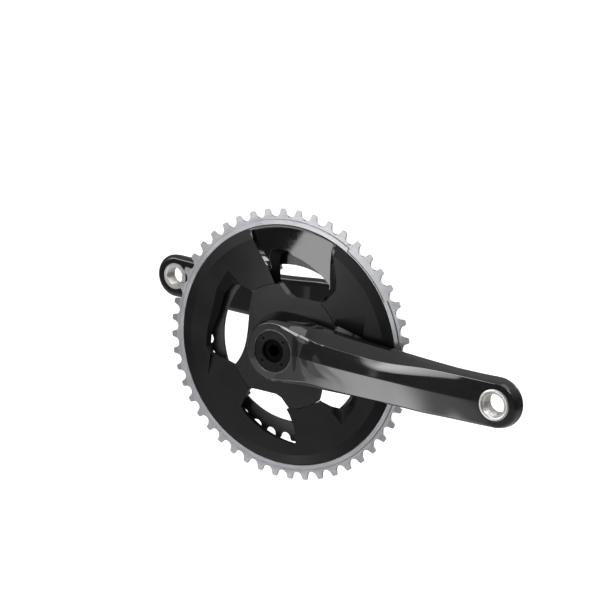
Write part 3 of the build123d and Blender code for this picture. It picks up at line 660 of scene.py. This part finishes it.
def carbon_look():
    """Black moulded carbon under clear lacquer: faint weave, orange peel and fine dust."""
    look = Finish("carbon_gloss", specular=0.05)
    look.coat(1.0, 0.03, 1.55)
    weave = look.node("ShaderNodeTexWave", wave_type="BANDS", bands_direction="DIAGONAL")
    weave.inputs["Scale"].default_value = 260
    weave.inputs["Distortion"].default_value = 0.6
    look.link(look.place, weave.inputs["Vector"])
    broad = look.noise(22, 4)
    tone = look.mix(look.spread(broad, 0, 1, 0.35, 0.65), (0.0018, 0.0018, 0.0022), (0.0034, 0.0033, 0.0040))
    tone = look.mix(look.math("MULTIPLY", weave.outputs["Fac"], 0.25), tone, (0.007, 0.007, 0.0085))
    dust = look.spread(look.noise(2600, 2), 0, 1, 0.72, 0.8)
    look.colour(look.mix(look.math("MULTIPLY", dust, 0.25), tone, (0.12, 0.12, 0.12)))
    look.roughness(look.spread(look.noise(60, 4), 0.22, 0.36))
    soft = look.soft_edge(LACQUER_EDGE)
    look.normal(look.bump(look.noise(170, 2), 0.012, PEEL_DEPTH, soft))
    look.link(look.bump(look.noise(140, 2), 0.006, PEEL_DEPTH, soft), look.shader.inputs["Coat Normal"])
    return look


def machined_rim():
    """Silver of the tooth rim: turned rings about the spin axis."""
    look = Finish("rim_silver", metallic=1.0)
    wave = look.node("ShaderNodeTexWave", wave_type="RINGS", rings_direction="Y")
    wave.inputs["Scale"].default_value = 420
    wave.inputs["Distortion"].default_value = 1.2
    wave.inputs["Detail"].default_value = 2
    look.link(look.place, wave.inputs["Vector"])
    broad = look.noise(60, 4)
    look.colour(look.mix(look.spread(broad, 0, 1, 0.35, 0.65), (0.27, 0.272, 0.284), (0.335, 0.337, 0.35)))
    look.roughness(look.spread(broad, 0.34, 0.46))
    look.normal(look.bump(wave.outputs["Fac"], 0.25, 0.00001, look.soft_edge(METAL_EDGE)))
    return look


# Each finish: its name, its dark and light tone, its range of roughness, and what it has of its own.
web_black = painted(
    "web_black", (0.0022, 0.0022, 0.0026), (0.004, 0.004, 0.0044), (0.30, 0.38), grain=1500,
    specular=0.16,
)
spider_black = painted(
    "spider_satin", (0.0045, 0.0045, 0.005), (0.007, 0.007, 0.0075), (0.36, 0.46), grain=1500,
    specular=0.2,
)
scoop_gloss = painted(
    "scoop_gloss", (0.0012, 0.0012, 0.0015), (0.002, 0.002, 0.0024), (0.05, 0.09), grain=700,
    grain_depth=0.000002, wear=0.05,
)
# Near black with almost no reflection: painted shade that makes the deep dip in the hollow read as a
# shadowed hole.
dip_painted_shade = painted(
    "scoop_dip_painted_shade", (0.001, 0.001, 0.0012), (0.002, 0.002, 0.0022), (0.26, 0.34), grain=700,
    grain_depth=0.000002, wear=0.0, specular=0.02,
)
groove_black = painted("groove_black", (0.004, 0.004, 0.004), (0.006, 0.006, 0.006), (0.5, 0.6))
rim_silver = machined_rim()
inner_black = painted(
    "inner_ring_black", (0.010, 0.010, 0.011), (0.016, 0.016, 0.017), (0.38, 0.5), grain=1200,
)
bush_silver = metal(
    "bush_bright", (0.60, 0.585, 0.565), (0.68, 0.665, 0.645), (0.29, 0.33), grain=EVEN_GRAIN,
    edge=0.00002, depth=0.0000001, uneven=0.01,
)
insert_metal = metal("insert_aluminium_look", (0.20, 0.20, 0.21), (0.26, 0.26, 0.27), (0.3, 0.42))
# Darker metal for the insert's nose: painted shade for where it sits recessed inside the cap.
nose_painted_shade = metal("insert_nose_painted_shade", (0.06, 0.06, 0.062), (0.09, 0.09, 0.092), (0.2, 0.3))
spindle_metal = metal("spindle_anodised", (0.10, 0.10, 0.105), (0.15, 0.15, 0.155), (0.28, 0.4))
steel_dark = metal(
    "bolt_dark_steel", (0.006, 0.006, 0.006), (0.012, 0.012, 0.0125), (0.34, 0.46), grain=EVEN_GRAIN,
)
# Part black oxide, part painted shade: near black with almost no reflection, for the bolt deep in the cap's
# shaded bore.
oxide_and_shade_black = painted(
    "bolt_oxide_and_painted_shade", (0.001, 0.001, 0.0011), (0.002, 0.002, 0.0021), (0.4, 0.5), grain=1500,
    wear=0.05, specular=0.02,
)
steel_bright = metal(
    "pin_bright_steel", (0.45, 0.45, 0.46), (0.55, 0.55, 0.56), (0.22, 0.34), grain=EVEN_GRAIN,
)
bearing_steel = metal("bearing_race_steel", (0.5, 0.5, 0.51), (0.6, 0.6, 0.61), (0.14, 0.24))
ball_steel = metal(
    "bearing_ball_steel", (0.6, 0.6, 0.61), (0.68, 0.68, 0.69), (0.05, 0.1), grain=(300, 300, 300),
)
cap_black = painted(
    "cap_anodised", (0.002, 0.002, 0.0022), (0.004, 0.004, 0.0045), (0.24, 0.34), grain=1800, wear=0.3,
    specular=0.15,
)
cup_black = painted(
    "cup_anodised", (0.012, 0.012, 0.013), (0.02, 0.02, 0.021), (0.3, 0.42), grain=1400, wear=0.5,
)
plastic = painted(
    "moulded_plastic", (0.014, 0.014, 0.015), (0.022, 0.022, 0.023), (0.45, 0.58), grain=800,
    grain_depth=0.00004, wear=0.1,
)
cage_plastic = painted(
    "cage_nylon", (0.16, 0.13, 0.09), (0.2, 0.165, 0.11), (0.4, 0.5), grain=700, wear=0.0,
)
rubber = painted(
    "seal_rubber_look", (0.012, 0.012, 0.012), (0.02, 0.02, 0.02), (0.6, 0.72), grain=500,
    grain_depth=0.00004, wear=0.0,
)
carbon = carbon_look()

SLOT_LOOKS = {
    "carbon_arm": carbon,
    "bush_silver": bush_silver,
    "insert_aluminium": insert_metal,
    "cap_black": cap_black,
    "bolt_steel": steel_dark,
    "pin_steel": steel_bright,
    "spindle_grey": spindle_metal,
    "spider_black": spider_black,
    "outer_ring": web_black,
    "inner_ring": inner_black,
    "cup_black": cup_black,
    "black_plastic": plastic,
    "bearing_steel": bearing_steel,
    "ball_steel": ball_steel,
    "cage_plastic": cage_plastic,
    "seal_rubber": rubber,
}

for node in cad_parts.values():
    for holder in node.material_slots:
        holder.material = SLOT_LOOKS[holder.material.name.split(".")[0]].material
# The crank bolt and its washer sit in the cap's bore. They take the near-black look, which is partly painted
# shade.
for name in ("crank_bolt", "crank_bolt_washer"):
    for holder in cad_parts[name].material_slots:
        holder.material = oxide_and_shade_black.material
for piece in (drive_arm, nondrive_arm):
    piece.data.materials.clear()
    piece.data.materials.append(carbon.material)
for name in ("drive_threaded_bush", "nondrive_threaded_bush"):
    bpy.data.objects[name].data.materials.append(bush_silver.material)

# The outer ring has a silver rim, a black gap inside it, a satin web and a polished hollow above the hub
# with a dip in it that is painted near black as painted shade. Radii and outboard places are in mm.
RIM_INSIDE = 87.95
GROOVE_INSIDE = 87.2
BELOW_WEB_FACE = 51.97
BELOW_SCOOP_FACE = 49.25
# A face whose normal leans further inboard than this is on the ring's back.
FACES_INBOARD = 0.5
# The places of the added looks in the ring's list, where the web's look is 0.
RING_LOOKS = (rim_silver, groove_black, scoop_gloss, dip_painted_shade)
RIM = 1
GROOVE = 2
SCOOP = 3
SHADED_DIP = 4
SCOOP_OUTLINE = (
    (-9.3, 41.0), (-16.5, 51.2), (-22.3, 58.9), (-31.8, 71.6), (-36.0, 79.9), (-20, 86), (0, 88.2), (20, 86),
    (34.4, 81.5), (33.7, 76.0), (37.0, 66.7), (39.6, 56.3), (39.4, 47.5), (31.2, 37.8), (20.5, 33.8),
    (2, 34.3),
)


def inside(x, y, outline):
    """Whether a point is inside an outline, from how often a line from it crosses the outline."""
    crossings = 0
    for (ax, ay), (bx, by) in zip(outline, outline[1:] + outline[:1]):
        if (ay > y) != (by > y) and x < ax + (y - ay) * (bx - ax) / (by - ay):
            crossings += 1
    return crossings % 2 == 1


# The nose of the drive side's insert, seen round the cap, is painted darker than the rest of it: painted
# shade for its place deep in the cap.
NOSE_START = -66.4
NOSE_SHADE = 1
insert_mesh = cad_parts["drive_spindle_insert"].data
insert_mesh.materials.append(nose_painted_shade.material)
for face in insert_mesh.polygons:
    if face.center.y / MM < NOSE_START:
        face.material_index = NOSE_SHADE

ring_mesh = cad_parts["outer_chainring"].data
for look in RING_LOOKS:
    ring_mesh.materials.append(look.material)
for face in ring_mesh.polygons:
    centre = face.center / MM
    radius = math.hypot(centre.x, centre.z)
    sunk = -centre.y < BELOW_WEB_FACE and face.normal.y < FACES_INBOARD
    if radius > RIM_INSIDE:
        face.material_index = RIM
    elif radius > GROOVE_INSIDE:
        face.material_index = GROOVE
    # Faces deeper than the hollow's floor take the dip's painted shade.
    elif sunk and inside(centre.x, centre.z, SCOOP_OUTLINE):
        face.material_index = SHADED_DIP if -centre.y < BELOW_SCOOP_FACE else SCOOP

# ---------------------------------------------------------------- floor, light and camera

# The floor is a wide disc that curves up into a round wall: radius and height in metres.
COVE = ((7.0, -0.24), (9.0, 0.1), (10.5, 1.0), (11.5, 3.0), (12.0, 14.0))
COVE_TURNS = 96
cove_points = []
for radius, level in COVE:
    for k in range(COVE_TURNS):
        turn = 2 * math.pi * k / COVE_TURNS
        cove_points.append(Vector((radius * math.cos(turn), radius * math.sin(turn), level)))
cove_faces = [tuple(range(COVE_TURNS))]
for row in range(len(COVE) - 1):
    low = row * COVE_TURNS
    high = low + COVE_TURNS
    for k in range(COVE_TURNS):
        after_k = (k + 1) % COVE_TURNS
        cove_faces.append((low + k, low + after_k, high + after_k, high + k))
floor = mesh_object("studio_floor", cove_points, cove_faces)
FLOOR_GLOW = 0.80
FLOOR_ROUGHNESS = 0.9
floor_look = Finish("floor_pale")
floor_look.shader.inputs["Emission Strength"].default_value = FLOOR_GLOW
floor_look.shader.inputs["Emission Color"].default_value = (1, 1, 1, 1)
floor_look.colour(floor_look.mix(floor_look.noise(2.0), (0.52, 0.52, 0.52), (0.55, 0.55, 0.55)))
floor_look.shader.inputs["Roughness"].default_value = FLOOR_ROUGHNESS
floor.data.materials.append(floor_look.material)
floor.visible_glossy = False
floor.visible_diffuse = False
floor.visible_shadow = False

# Brightness of the studio round the crankset, by the height of the direction looked in, -1 to 1.
STUDIO = (
    (-1.0, 0.5), (-0.5, 0.5), (-0.38, 0.42), (-0.29, 0.20), (-0.2, 0.13), (0.2, 0.16), (0.6, 0.45),
    (1.0, 0.8),
)

world = bpy.data.worlds.new("studio")
world.use_nodes = True
bpy.context.scene.world = world
tree = world.node_tree
background = tree.nodes["Background"]
direction = tree.nodes.new("ShaderNodeTexCoord").outputs["Generated"]
split = tree.nodes.new("ShaderNodeSeparateXYZ")
tree.links.new(direction, split.inputs[0])
height = tree.nodes.new("ShaderNodeMapRange")
height.inputs["From Min"].default_value = -1.0
height.inputs["From Max"].default_value = 1.0
tree.links.new(split.outputs["Z"], height.inputs["Value"])
ramp = tree.nodes.new("ShaderNodeValToRGB")
tree.links.new(height.outputs[0], ramp.inputs[0])
elements = ramp.color_ramp.elements
elements[0].position = 0.0
elements[0].color = (STUDIO[0][1],) * 3 + (1,)
elements[1].position = 1.0
elements[1].color = (STUDIO[-1][1],) * 3 + (1,)
for level, value in STUDIO[1:-1]:
    made = elements.new((level + 1) / 2)
    made.color = (value,) * 3 + (1,)
tree.links.new(ramp.outputs[0], background.inputs["Color"])
background.inputs["Strength"].default_value = 1.0


def softbox(name, place, target, width, height, radiance):
    """Rectangular lamp at a place that faces a target, in metres, as bright as asked per unit area."""
    lamp = bpy.data.lights.new(name, "AREA")
    lamp.shape = "RECTANGLE"
    lamp.size = width
    lamp.size_y = height
    lamp.energy = radiance * math.pi * width * height
    holder = bpy.data.objects.new(name, lamp)
    bpy.context.scene.collection.objects.link(holder)
    holder.location = place
    aim = Vector(target) - Vector(place)
    holder.rotation_mode = "QUATERNION"
    holder.rotation_quaternion = aim.to_track_quat("-Z", "Y")
    holder.visible_camera = False
    return lamp


def card(name, distance, x_range, z_range, radiance, shade):
    """Lamp in a plane in front of the crankset; shade(nodes, x, z) gives its brightness from 0 to 1."""
    width = x_range[1] - x_range[0]
    height = z_range[1] - z_range[0]
    centre = Vector((sum(x_range) / 2, -distance, sum(z_range) / 2))
    lamp = softbox(name, centre, centre + Vector((0, 1, 0)), width, height, radiance)
    lamp.use_nodes = True
    nodes = Nodes(lamp.node_tree)
    split = nodes.node("ShaderNodeSeparateXYZ")
    nodes.link(nodes.node("ShaderNodeNewGeometry").outputs["Parametric"], split.inputs[0])
    x = nodes.spread(split.outputs[0], x_range[0], x_range[1], 0, 1)
    z = nodes.spread(split.outputs[1], z_range[0], z_range[1], 0, 1)
    nodes.link(shade(nodes, x, z), nodes.tree.nodes["Emission"].inputs["Strength"])


# Slopes and offset in metres of the slanted edges of two cards. Each spread in the shades below gives the
# brightness before and after a range of places in metres, and then that range.
STREAK_SLOPE = 0.72
STREAK_OFFSET = 0.066
SCOOP_SLOPE = 0.627


def streak_shade(nodes, x, z):
    """Fades in from the left and dims upwards, and its lower edge climbs to the right."""
    left = nodes.spread(x, 0, 1, -0.505, -0.480, True)
    slant = nodes.math("SUBTRACT", z, nodes.math("MULTIPLY", x, STREAK_SLOPE))
    above = nodes.math("SUBTRACT", slant, STREAK_OFFSET)
    rise = nodes.spread(above, 0.42, 1, 0.0, 0.08)
    edge = nodes.spread(above, 0, 1, -0.008, 0.008, True)
    top = nodes.spread(z, 1, 0.15, 0.0, 0.3, True)
    return nodes.product(left, rise, edge, top)


def belly_shade(nodes, x, z):
    """Brightest in a band near the middle, much dimmer to both sides, and fading out upwards."""
    right = nodes.spread(x, 1, 0.14, -0.615, -0.51, True)
    end = nodes.spread(x, 1, 0.2, -0.47, -0.40, True)
    left = nodes.spread(x, 0.10, 1, -0.98, -0.62, True)
    low = nodes.spread(z, 1, 0.6, -1.0, -0.76)
    top = nodes.spread(z, 1, 0, -0.74, -0.58, True)
    far = nodes.spread(x, 0, 1, -1.75, -1.35, True)
    return nodes.product(right, end, left, far, low, top)


def scoop_shade(nodes, x, z):
    """Cut off on the left along a slanted line."""
    line = nodes.math("SUBTRACT", x, nodes.math("MULTIPLY", z, SCOOP_SLOPE))
    return nodes.spread(line, 0, 1, -0.1095, -0.1055, True)


# Each card: its distance, its range across and up, its radiance and its shading.
card("streak_card", 1.2, (-0.56, -0.30), (-0.32, 0.30), 9.5, streak_shade)
card("belly_card", 1.2, (-1.75, -0.36), (-1.5, -0.58), 6.1, belly_shade)
card("scoop_card", 0.2, (-0.105, -0.045), (-0.004, 0.051), 7.0, scoop_shade)
# Each lamp: its place, what it faces, its width and height, and its radiance.
softbox("low_glow", (-0.30, -0.47, -0.25), (-0.02, -0.05, -0.06), 0.28, 0.16, 0.5)
softbox("sliver_box", (0.854, -0.334, 0.98), (-0.02, -0.05, 0.06), 0.4, 0.4, 12)
softbox("top_box", (0.4, -0.2, 1.5), (0.1, 0, 0), 1.3, 0.8, 1.4)
softbox("patch_box", (-0.354, -0.995, 1.393), (0.02, -0.07, 0.02), 0.46, 0.7, 2.1)
softbox("lens_box", (-0.82, -1.0, 0.352), (0.02, -0.07, 0.015), 0.8, 0.46, 4.0)
softbox("left_box", (-1.5, -1.2, 0.5), (0, 0, 0), 0.9, 1.2, 1.4)
softbox("hub_glow", (-0.66, -1.2, -0.40), (0, -0.07, 0), 0.22, 0.16, 0.4)
softbox("back_box", (0.6, 1.6, 0.9), (0, 0, 0), 1.4, 1.0, 2.5)
softbox("back_card", (0.3, 2.0, 0.1), (0, 0, 0), 2.4, 1.2, 1.6)

# The camera looks at a point beside the hub from a distance along its own backward direction.
TURN = math.radians(29.60)
RISE = math.radians(14.60)
ROLL = math.radians(4.09)
AIM = Vector((-0.01947, 0, 0.02083))
DISTANCE = 1.28
SENSOR_WIDTH = 36
FOCAL_LENGTH = 103.68
CLIP_START = 0.05
CLIP_END = 60
back = Vector((math.sin(TURN) * math.cos(RISE), -math.cos(TURN) * math.cos(RISE), math.sin(RISE)))
right = Vector((0, 0, 1)).cross(back).normalized()
up = back.cross(right)
rolled_right = right * math.cos(ROLL) + up * math.sin(ROLL)
rolled_up = up * math.cos(ROLL) - right * math.sin(ROLL)
camera = bpy.data.objects.new("camera", bpy.data.cameras.new("camera"))
bpy.context.scene.collection.objects.link(camera)
rotation = Matrix((rolled_right, rolled_up, back)).transposed().to_4x4()
camera.matrix_world = Matrix.Translation(AIM + back * DISTANCE) @ rotation
camera.data.sensor_width = SENSOR_WIDTH
camera.data.lens = FOCAL_LENGTH
camera.data.clip_start = CLIP_START
camera.data.clip_end = CLIP_END
bpy.context.scene.camera = camera
bpy.context.scene.view_settings.view_transform = "Standard"
